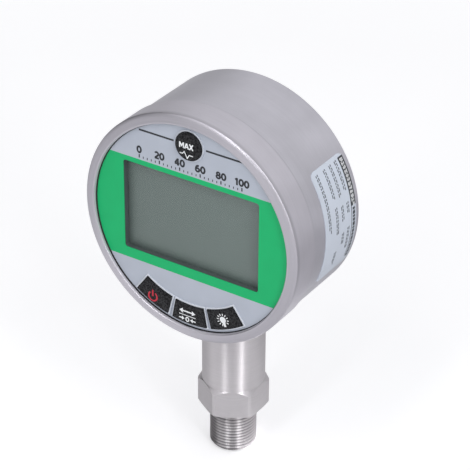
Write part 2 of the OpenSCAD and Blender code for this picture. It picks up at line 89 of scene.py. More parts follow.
# Keys: three sectors, each between two radii and half an angle to each side, and the round one
KEY_ANGLES = {"power_key": -115.0, "unit_zero_key": -90.0, "light_key": -65.0}
KEY_FRONT_Y, BUTTON_Y = extent("peak_key", "Y")
KEY_RISE = FACE_Y - KEY_FRONT_Y
KEY_RO = 43.5
KEY_RI = 35.0
KEY_HALF = 10.8
KEY_EDGE = 0.28
# How far a cap reaches past the CAD's plain key
KEY_GROW = 0.1
# Flange behind the panel, and the boss that starts sunk in it and ends at the switch's button
FLANGE_FRONT = 2.55
FLANGE_BACK = 3.35
FLANGE_W = 0.8
BUTTON_FRONT = BUTTON_Y - FACE_Y
BOSS_R = 2.25
BOSS_SUNK = 0.2
PEAK_Z = sum(extent("peak_key", "Z")) / 2 - CASE_Z
PEAK_R = extent("peak_key", "X")[1] - FLANGE_W

# Opening in front of the display, which the clear window overlaps on all sides
WINDOW_OVERLAP = 2.0
PANE_LOW_Z, PANE_TOP_Z = extent("display_window", "Z")
WINDOW_W = 2 * (extent("display_window", "X")[1] - WINDOW_OVERLAP)
WINDOW_H = PANE_TOP_Z - PANE_LOW_Z - 2 * WINDOW_OVERLAP
WINDOW_Z = (PANE_LOW_Z + PANE_TOP_Z) / 2 - CASE_Z

# Stem: its thread, the plain groove behind it, the hexagon's foot and the port
PITCH = 1.5
CREST_R = MOUNTS["process_thread"]["r_mm"]
ROOT_R = 9.08
TIP_R = 8.58
RELIEF_R = 8.83
RELIEF_Z = 18.0
HEX_Z = 20.5
PORT_R = MOUNTS["pressure_inlet"]["r_mm"]
PORT_L = MOUNTS["pressure_inlet"]["length_mm"]
PORT_EDGE = 0.3

# Camera, fitted to the photograph: angles in degrees, lengths in millimetres
AZIMUTH = 33.08
ELEVATION = 31.0
CAMERA_ROLL = 0.44
DISTANCE = 830.0
SHIFT_RIGHT = -17.59
SHIFT_UP = 2.10
FOCAL_PX = 2114.98
IMAGE_PX = 470
SENSOR_W = 36.0


def sine(degrees):
    return math.sin(math.radians(degrees))


def cosine(degrees):
    return math.cos(math.radians(degrees))


def place_camera():
    """Turns the camera to the case's axis on the face, then shifts it sideways and up."""
    back = Vector((sine(AZIMUTH) * cosine(ELEVATION), -cosine(AZIMUTH) * cosine(ELEVATION),
                   sine(ELEVATION)))
    level = Vector((cosine(AZIMUTH), sine(AZIMUTH), 0))
    upright = back.cross(level)
    right = level * cosine(CAMERA_ROLL) + upright * sine(CAMERA_ROLL)
    up = upright * cosine(CAMERA_ROLL) - level * sine(CAMERA_ROLL)
    eye = Vector((0, FACE_Y, CASE_Z)) + back * DISTANCE - right * SHIFT_RIGHT - up * SHIFT_UP
    data = bpy.data.cameras.new("camera")
    data.sensor_width = SENSOR_W
    data.lens = FOCAL_PX / IMAGE_PX * SENSOR_W
    data.clip_start = 0.02
    data.clip_end = 50
    camera = bpy.data.objects.new("camera", data)
    turn = Matrix((right, up, back)).transposed().to_4x4()
    camera.matrix_world = Matrix.Translation(eye * MM) @ turn
    bpy.context.scene.collection.objects.link(camera)
    bpy.context.scene.camera = camera


place_camera()


# Material helpers

# The range that most values of a noise lie in
NOISE_RANGE = (0.3, 0.7)


def srgb(*values):
    """A colour read off as 0-255 display values, as the linear colour of a shader socket."""
    linear = []
    for v in values:
        c = v / 255
        linear.append(c / 12.92 if c <= 0.04045 else ((c + 0.055) / 1.055) ** 2.4)
    return (*linear, 1.0)


def tint(colour, share):
    """A colour made darker or lighter by a share, at most white."""
    return tuple(min(c * share, 1.0) for c in colour[:3]) + (1.0,)


class Nodes:
    """Short ways to add nodes to a tree. A value is a number, a tuple or another node's socket."""

    def __init__(self, owner):
        owner.use_nodes = True
        self.tree = owner.node_tree

    def node(self, kind, **settings):
        n = self.tree.nodes.new(kind)
        for key, value in settings.items():
            setattr(n, key, value)
        return n

    def feed(self, value, socket):
        if isinstance(value, bpy.types.NodeSocket):
            self.tree.links.new(value, socket)
        else:
            socket.default_value = value

    def calc(self, operation, *values):
        n = self.node("ShaderNodeMath", operation=operation)
        for value, socket in zip(values, n.inputs):
            self.feed(value, socket)
        return n.outputs[0]

    def plus(self, first, *others):
        for value in others:
            first = self.calc("ADD", first, value)
        return first

    def times(self, first, *others):
        for value in others:
            first = self.calc("MULTIPLY", first, value)
        return first

    def length(self, x, y):
        return self.calc("SQRT", self.plus(self.times(x, x), self.times(y, y)))

    def scaled(self, vector, x, y, z):
        n = self.node("ShaderNodeVectorMath", operation="MULTIPLY")
        self.feed(vector, n.inputs[0])
        n.inputs[1].default_value = (x, y, z)
        return n.outputs[0]

    def parts(self, vector):
        n = self.node("ShaderNodeSeparateXYZ")
        self.feed(vector, n.inputs[0])
        return n.outputs[0:3]

    def joined(self, x, y, z):
        n = self.node("ShaderNodeCombineXYZ")
        for value, socket in zip((x, y, z), n.inputs):
            self.feed(value, socket)
        return n.outputs[0]

    def noise(self, vector, scale, detail=2.0, rough=0.5):
        n = self.node("ShaderNodeTexNoise")
        self.feed(vector, n.inputs["Vector"])
        n.inputs["Scale"].default_value = scale
        n.inputs["Detail"].default_value = detail
        n.inputs["Roughness"].default_value = rough
        return n.outputs["Fac"]

    def span(self, value, source=NOISE_RANGE, result=(0, 1)):
        """value from the source range as the result range, held at its ends."""
        n = self.node("ShaderNodeMapRange")
        keys = ("Value", "From Min", "From Max", "To Min", "To Max")
        for v, key in zip((value, *source, *result), keys):
            self.feed(v, n.inputs[key])
        return n.outputs[0]

    def blend(self, share, a, b):
        """Colour a, turned into colour b by a share from 0 to 1."""
        n = self.node("ShaderNodeMix", data_type="RGBA")
        colours = [socket for socket in n.inputs if socket.type == "RGBA"]
        for value, socket in zip((share, a, b), (n.inputs[0], *colours)):
            self.feed(value, socket)
        return next(socket for socket in n.outputs if socket.type == "RGBA")

    def shaded(self, share, colour, low, high):
        """colour made darker or lighter, from low to high, by a share from 0 to 1."""
        return self.blend(share, tint(colour, low), tint(colour, high))


class Surface(Nodes):
    """A Principled material."""

    def __init__(self, name, **constants):
        self.material = bpy.data.materials.new(name)
        super().__init__(self.material)
        self.shader = self.tree.nodes["Principled BSDF"]
        for key, value in constants.items():
            self.feed(value, self.shader.inputs[key.replace("_", " ")])
        self.place = self.node("ShaderNodeTexCoord").outputs["Object"]

    def set(self, name, value):
        self.feed(value, self.shader.inputs[name])

    def bump(self, height, strength, distance):
        n = self.node("ShaderNodeBump")
        self.feed(height, n.inputs["Height"])
        n.inputs["Strength"].default_value = strength
        n.inputs["Distance"].default_value = distance
        self.set("Normal", n.outputs[0])


# Materials: scales are per metre, bump distances in metres

def steel(name, colour, axis, rough, aniso, streak, clouds, painted_shade_zone, matt=None):
    """Turned or brushed steel whose marks run round an axis, Y of the case or Z of the stem.
    streak is the marks' scale, clouds the share of soft clouds in the tone. The zone darkens the
    colour with painted shade and is (radius or depth, where dark, where plain, how dark). matt is
    the two radii between which a blasted surface becomes a bright one."""
    s = Surface(name, Metallic=1.0, Anisotropic=aniso, Anisotropic_Rotation=0.25)
    x, y, z = s.parts(s.place)
    across = s.calc("SUBTRACT", z, CASE_Z * MM) if axis == "Y" else y
    along = y if axis == "Y" else z
    radius = s.length(x, across)
    lines = s.calc("SUBTRACT", s.times(along, streak), s.times(radius, streak))
    round_scale = 40
    turned_place = s.joined(s.times(x, round_scale), s.times(across, round_scale), lines)
    marks = s.noise(turned_place, scale=1.0, detail=3.0, rough=0.6)
    cloud = s.noise(s.place, scale=55, detail=3.0)
    both = s.plus(s.times(marks, 1 - clouds), s.times(cloud, clouds))
    plain = s.shaded(s.span(both, (0.35, 0.65)), colour, low=0.93, high=1.05)
    # Painted shade: the colour darkens from where plain towards where dark
    kind, dark_at, plain_at, share = painted_shade_zone
    measure = radius if kind == "radius" else y
    start = 0 if kind == "radius" else FACE_Y
    reached = s.span(measure, ((start + dark_at) * MM, (start + plain_at) * MM))
    # Above the hexagon's foot the stem gets no painted shade
    if kind == "radius":
        margin = 0.02
        above_thread = s.calc("GREATER_THAN", z, (HEX_Z + margin) * MM)
        reached = s.calc("MAXIMUM", reached, above_thread)
    # Colour of the painted shade, with the marks still in it
    dark = s.shaded(marks, tint(colour, share), low=0.9, high=1.1)
    s.set("Base Color", s.blend(reached, dark, plain))
    s.set("Roughness", s.span(both, result=(rough - 0.04, rough + 0.05)))
    if matt:
        bright = s.span(radius, (matt[0] * MM, matt[1] * MM), (0.15, 1))
        s.set("Metallic", s.times(bright, s.span(marks, result=(0.97, 1.0))))
    s.bump(marks, strength=0.08, distance=0.00003)
    tangent = s.node("ShaderNodeTangent", direction_type="RADIAL", axis=axis)
    s.set("Tangent", tangent.outputs[0])
    return s.material


def plastic(name, colour, rough, grain=4000, relief=0.15, depth=0.00003, spread=0.06, **constants):
    """Moulded plastic, film or rubber with a fine grain and faint unevenness."""
    s = Surface(name, **constants)
    grains = s.noise(s.place, scale=grain, rough=0.6)
    cloud = s.noise(s.place, scale=120)
    s.set("Base Color", s.shaded(s.span(cloud), colour, low=1 - spread, high=1 + spread))
    s.set("Roughness", s.span(grains, result=(rough - 0.05, rough + 0.05)))
    s.bump(grains, strength=relief, distance=depth)
    return s.material


def ink(name, colour, rough=0.5):
    return plastic(name, colour, rough, grain=5000, relief=0.05, depth=0.00002)


def key_material():
    """Black moulded plastic whose coarse grain sparkles a little."""
    s = Surface("key_black")
    grains = s.noise(s.place, scale=1700, detail=1.0, rough=0.6)
    s.set("Base Color", s.shaded(s.span(grains), srgb(20, 20, 23), low=0.3, high=1.7))
    s.set("Specular IOR Level", s.span(grains, result=(0.08, 0.44)))
    s.set("Roughness", s.span(grains, result=(0.6, 0.5)))
    s.bump(grains, strength=0.6, distance=0.00007)
    return s.material


def metal(name, colour, rough):
    """Plain metal with fine marks in no direction."""
    s = Surface(name, Metallic=1.0)
    marks = s.noise(s.place, scale=900, detail=3.0, rough=0.6)
    s.set("Base Color", s.shaded(s.span(marks), colour, low=0.9, high=1.05))
    s.set("Roughness", s.span(marks, result=(rough - 0.06, rough + 0.08)))
    s.bump(marks, strength=0.08, distance=0.00002)
    return s.material


def panel_material():
    """The face's blue-grey film, with painted shade on the walls in the window's opening and a painted
    highlight that makes the rims round the key holes pale, palest on the case's lower half."""
    s = Surface("panel_film", Specular_IOR_Level=0.4)
    x, y, z = s.parts(s.place)
    margin = 0.06
    from_middle = s.calc("ABSOLUTE", s.calc("SUBTRACT", z, (CASE_Z + WINDOW_Z) * MM))
    in_width = s.calc("LESS_THAN", s.calc("ABSOLUTE", x), (WINDOW_W / 2 + margin) * MM)
    in_height = s.calc("LESS_THAN", from_middle, (WINDOW_H / 2 + margin) * MM)
    behind = s.calc("GREATER_THAN", y, (FACE_Y + margin) * MM)
    proud = s.calc("LESS_THAN", y, (FACE_Y - margin) * MM)
    # Painted highlight: the proud rims are turned pale, more so on the case's lower half
    rim_highlight_share = s.span(z, (CASE_Z * MM, (CASE_Z + 1) * MM), (0.75, 0.4))
    cloud = s.noise(s.place, scale=90)
    film = s.shaded(s.span(cloud), srgb(175, 181, 193), low=0.97, high=1.03)
    film = s.blend(s.times(proud, rim_highlight_share), film, srgb(226, 230, 238))
    # Painted shade: the opening's walls behind the face are given a dark colour
    s.set("Base Color", s.blend(s.times(in_width, in_height, behind), film, srgb(80, 88, 88)))
    grains = s.noise(s.place, scale=5000, rough=0.6)
    s.set("Roughness", s.span(grains, result=(0.38, 0.48)))
    s.bump(grains, strength=0.08, distance=0.00002)
    return s.material


def display_material():
    """The blank display: grey-green, with painted light that makes it lighter to its right and top, and
    painted shade at its glass's rim.
    """
    s = Surface("display_blank", Specular_IOR_Level=0.5)
    x, _, z = s.parts(s.place)
    up = s.calc("SUBTRACT", z, (CASE_Z + WINDOW_Z) * MM)
    half_w = WINDOW_W / 2
    half_h = WINDOW_H / 2
    rim_w = 3
    # Painted shade along the glass's rim
    at_side = s.span(s.calc("ABSOLUTE", x), ((half_w - rim_w) * MM, half_w * MM))
    at_end = s.span(s.calc("ABSOLUTE", up), ((half_h - rim_w) * MM, half_h * MM))
    rim_shade = s.calc("MAXIMUM", at_side, at_end)
    smear = s.noise(s.scaled(s.place, 260, 1, 18), scale=1.0, detail=3.0)
    # Painted light: lighter towards the top and towards the right
    upwards = s.span(up, (-half_h * MM, half_h * MM))
    rightwards = s.span(x, (-half_w * MM, half_w * MM))
    light = s.plus(s.times(smear, 0.4), s.times(upwards, 0.2), s.times(rightwards, 0.4))
    colour = s.shaded(light, srgb(104, 117, 113), low=0.85, high=1.09)
    s.set("Base Color", s.blend(s.times(rim_shade, 0.35), colour, srgb(66, 76, 74)))
    s.set("Roughness", s.span(smear, result=(0.30, 0.38)))
    return s.material


def window_material():
    """Clear acrylic with faint wipe marks."""
    s = Surface("clear_acrylic", Alpha=0.08, Specular_IOR_Level=0.4)
    smear = s.noise(s.place, scale=150)
    s.set("Base Color", s.shaded(smear, srgb(160, 172, 170), low=0.95, high=1.0))
    s.set("Roughness", s.span(smear, result=(0.08, 0.16)))
    return s.material


MATERIALS = {
    # Painted shade darkens the drum in the crease just behind the bezel
    "drum_steel": steel("drum_brushed", srgb(204, 202, 210), axis="Y", rough=0.36, aniso=0.5,
                        streak=1500, clouds=0.7, painted_shade_zone=("depth", BEZEL_DEPTH, 13.6, 0.72)),
    # Painted shade darkens the bezel's lip in front of the face a little
    "bezel_steel": steel("bezel_turned", srgb(205, 202, 210), axis="Y", rough=0.42, aniso=0.3,
                         streak=1800, clouds=0.6, painted_shade_zone=("depth", 0, 1.5, 0.8),
                         matt=(FACE_R + 0.06, FACE_R + 0.2)),
    # Painted shade darkens the thread's roots, the groove under the hexagon and the port
    "stem_steel": steel("stem_turned", srgb(217, 213, 216), axis="Z", rough=0.46, aniso=0.97,
                        streak=1800, clouds=0.6,
                        painted_shade_zone=("radius", ROOT_R + 0.05, CREST_R - 0.3, 0.34)),
    "seal_rubber": plastic("seal_rubber", srgb(24, 24, 26), rough=0.62, grain=2500, relief=0.25),
    "panel": panel_material(),
    "surround": plastic("surround_green", srgb(14, 174, 105), rough=0.5, grain=5000, relief=0.08,
                        depth=0.00002, spread=0.03, Specular_IOR_Level=0.3),
    "clear_window": window_material(),
    "black_plastic": plastic("black_plastic", srgb(34, 34, 36), rough=0.5, grain=3000, relief=0.2),
    "display": display_material(),
    "milky_plastic": plastic("milky_plastic", srgb(228, 232, 234), rough=0.45, grain=2500),
    "key_plastic": key_material(),
    "board": plastic("board_green", srgb(18, 92, 52), rough=0.35, grain=1500, relief=0.1),
    "brass": metal("turned_brass", srgb(205, 170, 98), rough=0.3),
    "white_plastic": plastic("white_nylon", srgb(226, 226, 220), rough=0.45),
    "cell_wrap": plastic("cell_wrap", srgb(44, 86, 158), rough=0.28, grain=1500, relief=0.05),
    "plated_steel": metal("plated_steel", srgb(205, 203, 198), rough=0.24),
    "red_wire": plastic("red_wire", srgb(190, 30, 34), rough=0.45),
    "black_wire": plastic("black_wire", srgb(26, 26, 28), rough=0.5),
    "grey_wire": plastic("grey_wire", srgb(112, 114, 118), rough=0.5),
    "label": plastic("label_film", srgb(199, 206, 218), rough=0.34, grain=5000, relief=0.05,
                     depth=0.00002, spread=0.03),
}
INK_DARK = ink("ink_dark", srgb(22, 25, 33))
INK_GREY = ink("ink_grey", srgb(84, 88, 96))
INK_WHITE = ink("ink_white", srgb(232, 234, 236))
INK_RED = ink("ink_red", srgb(186, 20, 48), rough=0.45)

for row in frame["record"]["subparts"]:
    slots = NODES[row["node"]].data.materials
    slots.clear()
    slots.append(MATERIALS[row["material_slot"]])


# Mesh helpers: meshes are made in millimetres

def piece(name, bm, material, body="gauge", sharp=32):
    """The mesh as a piece that rides on a body, with edges sharper than an angle left sharp."""
    bmesh.ops.scale(bm, vec=(MM, MM, MM), verts=bm.verts)
    bmesh.ops.recalc_face_normals(bm, faces=bm.faces)
    mesh = bpy.data.meshes.new(name)
    bm.to_mesh(mesh)
    bm.free()
    for p in mesh.polygons:
        p.use_smooth = True
    mesh.set_sharp_from_angle(angle=math.radians(sharp))
    mesh.materials.append(material)
    made = bpy.data.objects.new(name, mesh)
    bpy.context.scene.collection.objects.link(made)
    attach(made, body)
    return made


def on_face(x, z, depth):
    return Vector((x, FACE_Y + depth, CASE_Z + z))


def around(steps):
    """Cosine and sine of equal steps round a full turn."""
    turns = (2 * math.pi * i / steps for i in range(steps))
    return [(math.cos(a), math.sin(a)) for a in turns]


def arc_points(cx, cy, radius, start, end, steps=24):
    """Points of an arc between two angles in degrees."""
    turns = (start + (end - start) * i / steps for i in range(steps + 1))
    return [(cx + radius * cosine(a), cy + radius * sine(a)) for a in turns]


def oval(cx, cy, rx, ry, steps=28):
    return [(cx + rx * c, cy + ry * s) for c, s in around(steps)]


def loft(bm, loops, ends="capped"):
    """Joins loops with equal counts of points, each to the next. The first and the last are capped,
    open or joined to each other."""
    rings = [[bm.verts.new(p) for p in loop] for loop in loops]
    after = rings[1:] + rings[:1] if ends == "joined" else rings[1:]
    for a, b in zip(rings, after):
        for i in range(len(a)):
            j = (i + 1) % len(a)
            bm.faces.new((a[i], a[j], b[j], b[i]))
    if ends == "capped":
        bm.faces.new(rings[0])
        bm.faces.new(rings[-1])


# Keys: caps with rounded edges, the flange behind the panel and the boss on the switch's button

def sector_loop(angle, grow, depth, steps=18):
    """Outline of a lower key, grown to all sides, at a depth."""
    out = []
    for radius, sign in ((KEY_RO + grow, 1), (KEY_RI - grow, -1)):
        half = KEY_HALF + math.degrees(math.asin(grow / radius))
        for i in range(steps):
            a = angle + sign * half * (2 * i / (steps - 1) - 1)
            out.append(on_face(radius * cosine(a), radius * sine(a), depth))
    return out


def round_loop(cx, cz, radius, depth, steps=64):
    return [on_face(x, z, depth) for x, z in oval(cx, cz, radius, radius, steps)]


def key_piece(key, loop_at, centre):
    """A key's cap from the outlines that loop_at gives for (grow, depth)."""
    edge = arc_points(KEY_GROW - KEY_EDGE, KEY_EDGE - KEY_RISE, KEY_EDGE, -90, 0, 5)
    flange = [(KEY_GROW, FLANGE_FRONT), (FLANGE_W, FLANGE_FRONT), (FLANGE_W, FLANGE_BACK)]
    bm = bmesh.new()
    loft(bm, [loop_at(grow, depth) for grow, depth in edge + flange])
    loft(bm, [round_loop(*centre, BOSS_R, d, 32) for d in (FLANGE_BACK - BOSS_SUNK, BUTTON_FRONT)])
    made = piece(key + "_cap", bm, MATERIALS["key_plastic"], key)
    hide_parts(key)


def lower_key(key, angle):
    middle = (KEY_RO + KEY_RI) / 2
    key_piece(key, lambda grow, depth: sector_loop(angle, grow, depth),
              (middle * cosine(angle), middle * sine(angle)))


def peak_key():
    key_piece("peak_key", lambda grow, depth: round_loop(0, PEAK_Z, PEAK_R + grow, depth), (0, PEAK_Z))


for key_name, key_angle in KEY_ANGLES.items():
    lower_key(key_name, key_angle)
peak_key()


# Front bezel and its gasket: sections of (radius, depth) turned round the case's axis

def turned(name, section, material, steps, sharp=32):
    bm = bmesh.new()
    loft(bm, [[on_face(r * c, r * s, d) for r, d in section] for c, s in around(steps)], "joined")
    return piece(name, bm, material, sharp=sharp)


def turned_bezel():
    """The front bezel, whose lip falls back from its crest at a slope and rolls over to the skirt."""
    crest = arc_points(FACE_R + LIP_ROUND, LIP_ROUND - LIP_RISE, LIP_ROUND, 180, 270 + LIP_SLOPE, 14)
    crest_r, crest_depth = crest[-1]
    fall = math.tan(math.radians(LIP_SLOPE))
    slope = [(radius, crest_depth + (radius - crest_r) * fall)
             for radius in (crest_r + SLOPE_STRIP, ROLL_R - SLOPE_STRIP, ROLL_R)]
    gentle_r = ROLL_SPAN / (sine(ROLL_SLOPE) - sine(LIP_SLOPE))
    gentle = arc_points(ROLL_R - gentle_r * sine(LIP_SLOPE), slope[-1][1] + gentle_r * cosine(LIP_SLOPE),
                        gentle_r, 270 + LIP_SLOPE, 270 + ROLL_SLOPE, 14)
    tight_r = (BEZEL_R - gentle[-1][0]) / (1 - sine(ROLL_SLOPE))
    tight = arc_points(BEZEL_R - tight_r, gentle[-1][1] + tight_r * cosine(ROLL_SLOPE),
                       tight_r, 270 + ROLL_SLOPE, 360, 10)
    rear = arc_points(BEZEL_R - REAR_ROUND, BEZEL_DEPTH - REAR_ROUND, REAR_ROUND, 0, 90, 6)
    skirt = [(BEZEL_R, tight[-1][1] + SKIRT_STRIP), (BEZEL_R, rear[0][1] - SKIRT_STRIP)]
    skirt_ri = BEZEL_R - SKIRT_T
    inside = [(skirt_ri, BEZEL_DEPTH), (skirt_ri, STEP_DEPTH), (STEP_R, STEP_DEPTH),
              (STEP_R, -GASKET_T), (FACE_R, -GASKET_T)]
    section = crest + slope + gentle[1:] + tight[1:] + skirt + rear + inside
    made = turned("front_bezel_turned", section, MATERIALS["bezel_steel"], 320, sharp=40)
    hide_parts("front_bezel")


def gasket_bead():
    """The rubber that stands out a little between the lip and the face."""
    reach_and_rise = ((-0.02, 0.42), (0.18, 0.38), (0.32, 0.2), (0.36, 0.0), (-0.02, 0.0))
    section = [(FACE_R - reach, -rise) for reach, rise in reach_and_rise]
    made = turned("gasket_bead", section, MATERIALS["seal_rubber"], 180)


turned_bezel()
gasket_bead()


# Prints: thin shapes laid on a surface by a function of (across, up, lift)

PRINT_FOOT = -0.02
PRINT_TOP = 0.03
# Where two prints cross, one is higher by this much, so that no two faces share a plane
LAYER = 0.004
# Least cosine of half a corner's angle, so that a sharp corner's point stays short
MITRE_LIMIT = 0.35


def stroke(bm, place, points, width, high=PRINT_TOP, closed=False):
    """A line of even width through points, as a thin closed solid."""
    n = len(points)
    pts = [Vector(p) for p in points]
    loops = []
    for i, p in enumerate(pts):
        before = pts[i - 1] if (i or closed) else None
        after = pts[(i + 1) % n] if (i < n - 1 or closed) else None
        way_in = (p - before).normalized() if before else (after - p).normalized()
        way_out = (after - p).normalized() if after else way_in
        normal = Vector((-(way_in.y + way_out.y), way_in.x + way_out.x)).normalized()
        reach = width / 2 / max(normal.dot(Vector((-way_out.y, way_out.x))), MITRE_LIMIT)
        a, b = p + normal * reach, p - normal * reach
        corners = ((a, high), (b, high), (b, PRINT_FOOT), (a, PRINT_FOOT))
        loops.append([place(q.x, q.y, lift) for q, lift in corners])
    loft(bm, loops, "joined" if closed else "capped")


def patch(bm, place, points, high=PRINT_TOP):
    """A filled convex outline, as a thin closed solid."""
    loft(bm, [[place(x, y, lift) for x, y in points] for lift in (high, PRINT_FOOT)])


def face_place(x, z, lift):
    return on_face(x, z, -lift)


def key_place(cx, cz):
    """Places on a key's front, from a middle on the face."""
    return lambda x, z, lift: on_face(cx + x, cz + z, -KEY_RISE - lift)


# Figures drawn by strokes in a cell one unit high: width, then lines as (points, closed)
FIGURES = {
    "0": (0.78, [(oval(0, 0.5, 0.27, 0.41), True)]),
    "1": (0.56, [([(-0.2, 0.72), (0.06, 0.88)], False), ([(0.06, 0), (0.06, 1)], False)]),
    "2": (0.76, [(arc_points(0, 0.67, 0.245, 160, -35, 14) + [(-0.21, 0.14)], False),
                 ([(-0.32, 0.09), (0.33, 0.09)], False)]),
    "4": (0.80, [([(0.14, 0), (0.14, 1)], False), ([(0.12, 0.94), (-0.27, 0.33)], False),
                 ([(-0.35, 0.28), (0.35, 0.28)], False)]),
    "6": (0.78, [(oval(0, 0.32, 0.26, 0.23), True),
                 ([(0.2, 0.88), (0.06, 0.9), (-0.1, 0.82), (-0.22, 0.62), (-0.26, 0.34)], False)]),
    "8": (0.78, [(oval(0, 0.71, 0.21, 0.19), True), (oval(0, 0.3, 0.26, 0.21), True)]),
    "M": (1.02, [([(-0.36, 0), (-0.36, 1)], False), ([(0.36, 0), (0.36, 1)], False),
                 ([(-0.34, 0.95), (0, 0.36), (0.34, 0.95)], False)]),
    "A": (0.88, [([(-0.35, 0), (-0.02, 0.97)], False), ([(0.35, 0), (0.02, 0.97)], False),
                 ([(-0.22, 0.3), (0.22, 0.3)], False)]),
    "X": (0.84, [([(-0.32, 0), (0.32, 1)], False), ([(0.32, 0), (-0.32, 1)], False)]),
}


def figures(bm, place, text, height, middle, base, weight):
    """Plain figures centred on middle with their foot at base; weight is the stroke's width."""
    x = middle - sum(FIGURES[c][0] for c in text) * height / 2
    for c in text:
        width, lines = FIGURES[c]
        x += width * height / 2
        for i, (points, closed) in enumerate(lines):
            shape = [(x + a * height, base + b * height) for a, b in points]
            stroke(bm, place, shape, weight, high=PRINT_TOP + i * LAYER, closed=closed)
        x += width * height / 2


def face_prints():
    """The rule on both sides of the round key, and a plain bar scale above the display."""
    bm = bmesh.new()
    half_w = 24.0
    rule_start = 7.5
    for side in (-1, 1):
        stroke(bm, face_place, [(side * rule_start, PEAK_Z), (side * half_w, PEAK_Z)], width=0.8)
    numbers = range(0, 101, 20)
    figure_step = 2 * half_w / (len(numbers) - 1)
    ticks_per_figure = 5
    for i, number in enumerate(numbers):
        figures(bm, face_place, str(number), height=3.15, middle=i * figure_step - half_w,
                base=27.0, weight=0.82)
    tick_foot = 24.95
    for i in range((len(numbers) - 1) * ticks_per_figure + 1):
        x = i * figure_step / ticks_per_figure - half_w
        tall, width = (1.5, 0.55) if i % ticks_per_figure == 0 else (0.95, 0.38)
        stroke(bm, face_place, [(x, tick_foot), (x, tick_foot + tall)], width)
    piece("face_scale_print", bm, INK_DARK)


def power_print():
    """A broken ring with a bar in its gap."""
    bm = bmesh.new()
    place = key_place(-17.6, -36.2)
    stroke(bm, place, arc_points(0, -0.4, 2.05, 125, 415, 40), width=0.7)
    stroke(bm, place, [(0, -0.3), (0, 2.6)], width=0.72)
    piece("power_symbol_print", bm, INK_RED, "power_key")


def arrow(bm, place, tail, tip, y, width, head_l, head_half_w):
    """A straight arrow along the row at y, whose shaft ends inside its head."""
    way = 1 if tip > tail else -1
    shaft_end_share = 0.8
    stroke(bm, place, [(tail, y), (tip - way * head_l * shaft_end_share, y)], width)
    head_x = tip - way * head_l
    head = [(tip, y), (head_x, y + head_half_w), (head_x, y - head_half_w)]
    patch(bm, place, head, high=PRINT_TOP + LAYER)


def unit_zero_print():
    """A two-way arrow over a rule, and a nought between two arrows under it."""
    bm = bmesh.new()
    place = key_place(-0.7, -39.9)
    upper = 1.85
    lower = -1.75
    stroke(bm, place, [(-3.95, 0), (3.95, 0)], width=0.32)
    for side in (-1, 1):
        arrow(bm, place, 0, side * 3.9, upper, width=0.62, head_l=1.7, head_half_w=1.15)
        arrow(bm, place, side * 4.0, side * 1.35, lower, width=0.55, head_l=1.25, head_half_w=0.95)
    stroke(bm, place, oval(0, lower, 0.68, 0.95), width=0.5, closed=True)
    piece("unit_zero_symbol_print", bm, INK_WHITE, "unit_zero_key")


def light_print():
    """A lamp with its cap at the lower right and rays round it."""
    bm = bmesh.new()
    place = key_place(16.4, -35.9)
    bulb_z = 0.2
    patch(bm, place, arc_points(0, bulb_z, 1.45, 0, 345, 23))
    centre = Vector((0, bulb_z))
    lean = Vector((0.42, -0.91))
    across = Vector((0.91, 0.42))
    side = [(1.0, 0.9), (2.0, 0.55), (3.1, 0.5)]
    cap = side + [(along, -half) for along, half in reversed(side)]
    corners = [centre + lean * along + across * half for along, half in cap]
    patch(bm, place, [tuple(p) for p in corners], high=PRINT_TOP + LAYER)
    ray_angles = range(-20, 271, 29)
    for a in ray_angles:
        ray = [(radius * cosine(a), bulb_z + radius * sine(a)) for radius in (1.95, 2.85)]
        stroke(bm, place, ray, width=0.42)
    piece("light_symbol_print", bm, INK_WHITE, "light_key")


def peak_print():
    """The word for the highest value over a pulse line."""
    bm = bmesh.new()
    place = key_place(-0.8, 36.0)
    figures(bm, place, "MAX", height=2.45, middle=0, base=0.45, weight=0.56)
    pulse = [(-3.0, -1.95), (-1.7, -1.95), (-0.9, -0.95), (0.5, -3.6), (1.4, -2.05), (3.2, -2.05)]
    stroke(bm, place, pulse, width=0.38)
    piece("peak_symbol_print", bm, INK_WHITE, "peak_key")


def label_place(along, depth, lift):
    """along is millimetres down the label's curve from its start angle."""
    radius = DRUM_R + LABEL_T
    a = math.radians(LABEL_START_ANGLE) - along / radius
    return on_face((radius + lift) * math.cos(a), (radius + lift) * math.sin(a), depth)


def curved_line(bm, start, step, steps, depth, width):
    """A line along the label, in steps that follow its curve."""
    stroke(bm, label_place, [(start + i * step, depth) for i in range(steps + 1)], width)


def label_prints():
    """A title bar, a rule and rows of bars that stand for small print, with no letters."""
    dark, grey, white = bmesh.new(), bmesh.new(), bmesh.new()
    curved_line(dark, start=0.6, step=0.7, steps=30, depth=42.4, width=3.4)
    curved_line(dark, start=21.6, step=0.8, steps=30, depth=40.85, width=0.3)
    lengths = itertools.cycle((1.5, 0.9, 1.2, 1.7, 0.8, 1.3, 1.1, 1.6, 1.0))
    bar_gap = 0.5
    bar_top = 0.05

    def bars(bm, start, end, depth, tall):
        x = start
        while x < end:
            length = next(lengths)
            stroke(bm, label_place, [(x, depth), (x + length, depth)], tall, high=bar_top)
            x += length + bar_gap

    for depth in (43.1, 42.4, 41.7):
        bars(white, 1.3, 20.6, depth, tall=0.42)
    bars(dark, 22.6, 46.5, 42.5, tall=1.5)
    # Rows of small print: depth, then the start and end of each group
    rows = ((38.4, ((0.8, 13.5), (18.5, 23.0), (29.5, 38.5))),
            (34.4, ((0.9, 14.0), (18.5, 24.5), (30.5, 36.0))),
            (30.1, ((1.0, 13.0), (17.5, 29.0), (37.5, 43.0))),
            (24.7, ((1.0, 25.0),)))
    line_half = 0.5
    indent = 0.2
    for depth, groups in rows:
        for start, end in groups:
            bars(grey, start, end, depth + line_half, tall=0.5)
            bars(grey, start + indent, end, depth - line_half, tall=0.5)
    piece("label_title_print", dark, INK_DARK)
    piece("label_small_print", grey, INK_GREY)
    piece("label_title_marks", white, INK_WHITE)


